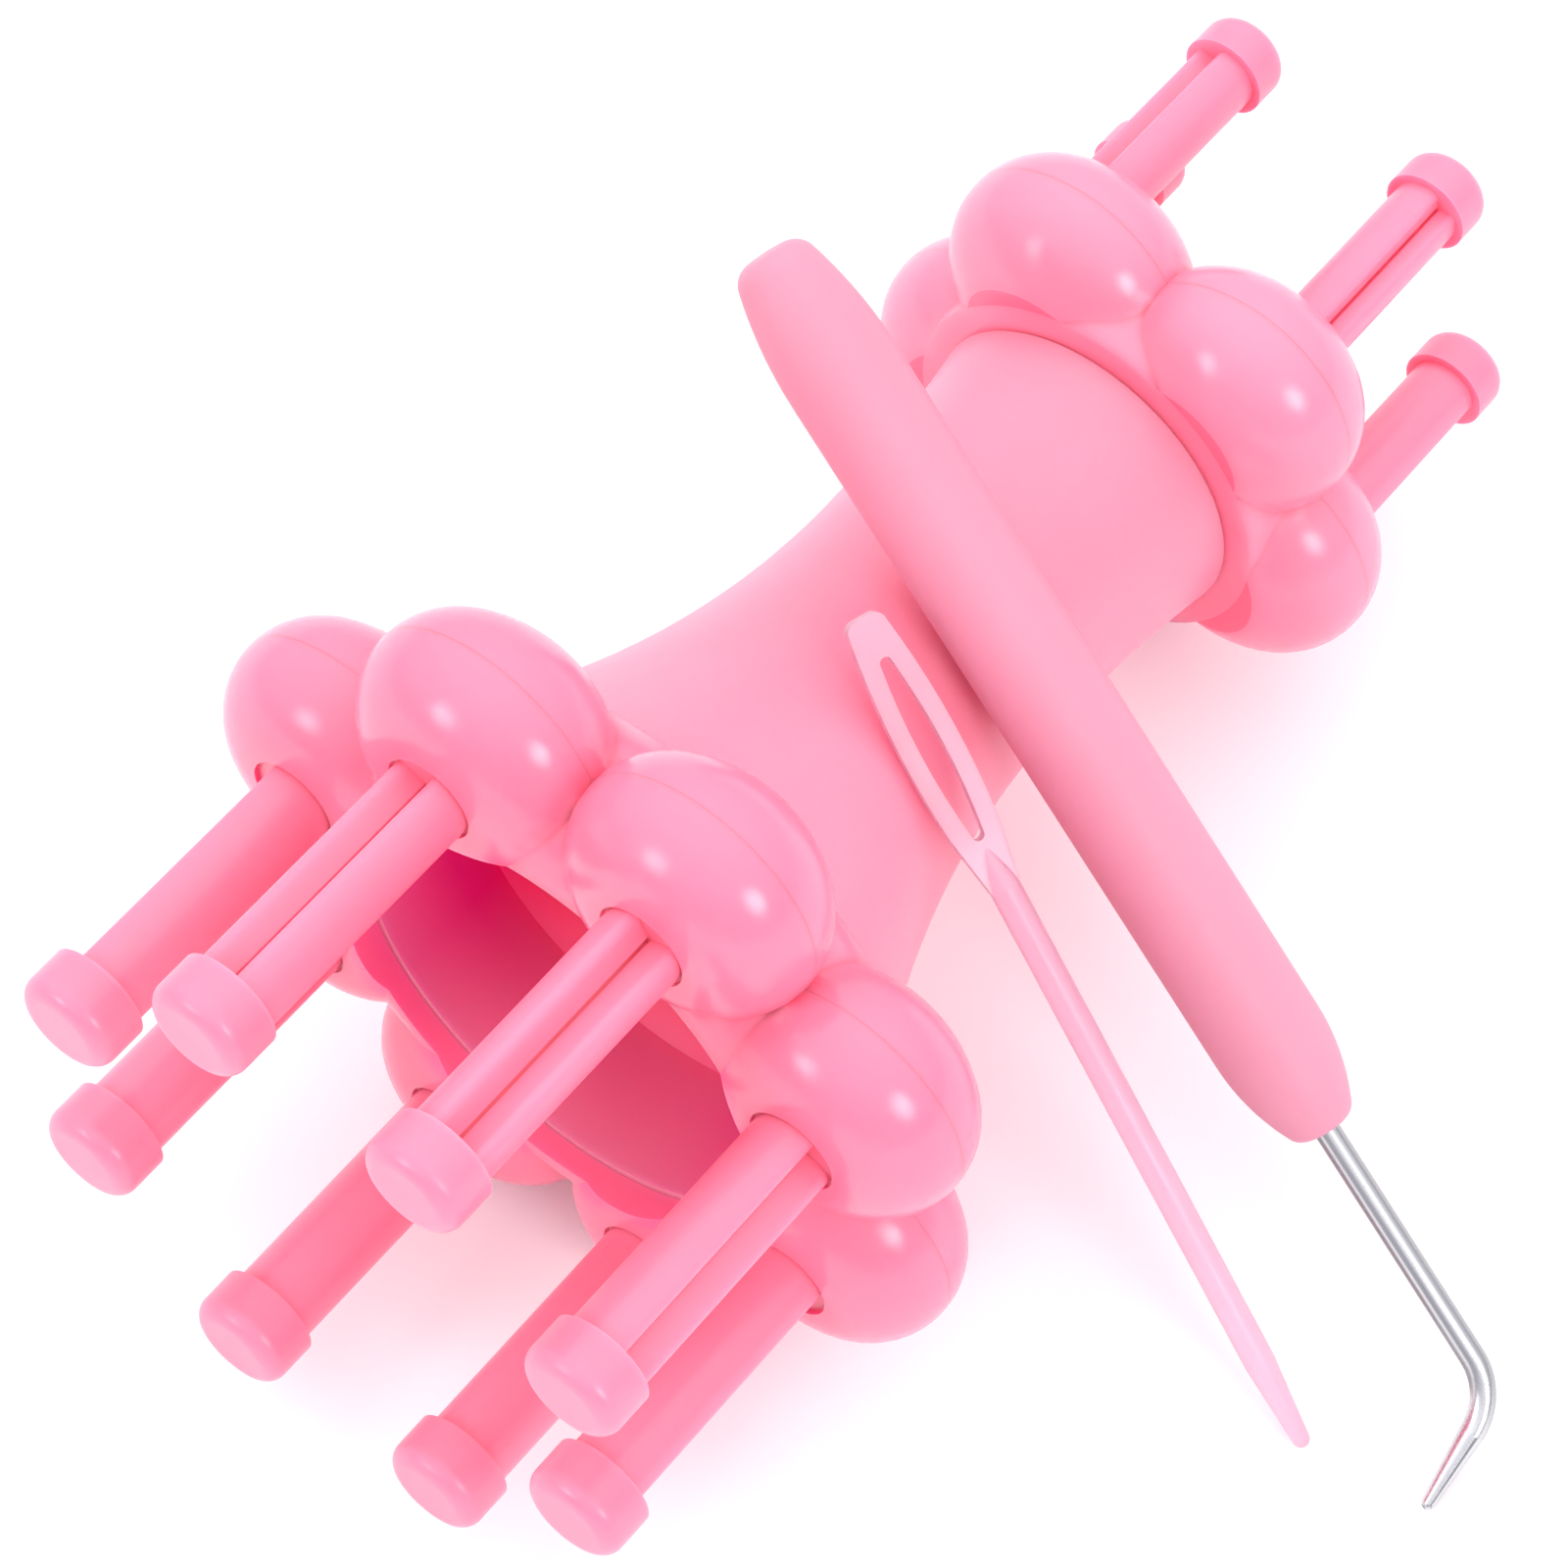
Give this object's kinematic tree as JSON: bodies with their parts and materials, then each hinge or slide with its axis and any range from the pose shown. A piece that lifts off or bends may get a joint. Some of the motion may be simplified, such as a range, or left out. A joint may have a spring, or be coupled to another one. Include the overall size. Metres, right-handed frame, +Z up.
{
  "type": "hand knitting machine",
  "caption": "Double-ended spool loom for knitting cord by hand: a flared tube with a bubble-lobed peg crown at each end, a bent-wire pick and a big-eyed needle leaning on it.",
  "frame": {"origin": "centre of the footprint, on the floor that the loom lies on", "axes": "+Z up; +X along the loom as it lies, towards the wide crown; the tools lean on it from the +Y side"},
  "size_m": [0.1404, 0.1096, 0.0722],
  "materials": {
    "loom_plastic": "glossy moulded pink, satin on the barrel",
    "peg_plastic": "satin moulded pink",
    "handle_plastic": "fine matt moulded pink",
    "needle_plastic": "slightly translucent pale pink",
    "wire_steel": "polished drawn wire"
  },
  "bodies": {
    "loom": {"barrel": "loom_plastic", "wide_crown_rear": "loom_plastic", "wide_crown_front": "loom_plastic", "narrow_crown_rear": "loom_plastic", "narrow_crown_front": "loom_plastic", "wide_peg_1": "peg_plastic", "wide_peg_2": "peg_plastic", "wide_peg_3": "peg_plastic", "wide_peg_4": "peg_plastic", "wide_peg_5": "peg_plastic", "wide_peg_6": "peg_plastic", "wide_peg_7": "peg_plastic", "wide_peg_8": "peg_plastic", "narrow_peg_1": "peg_plastic", "narrow_peg_2": "peg_plastic", "narrow_peg_3": "peg_plastic", "narrow_peg_4": "peg_plastic", "narrow_peg_5": "peg_plastic"},
    "pick": {"pick_handle": "handle_plastic", "pick_wire": "wire_steel"},
    "needle": {"yarn_needle": "needle_plastic"}
  },
  "joints": [
    {"name": "pick_lift", "type": "slide", "parent": "loom", "child": "pick", "axis": [0, 0, 1], "range_m": [0, 0.06]},
    {"name": "needle_lift", "type": "slide", "parent": "loom", "child": "needle", "axis": [0, 0, 1], "range_m": [0, 0.05]}
  ]
}
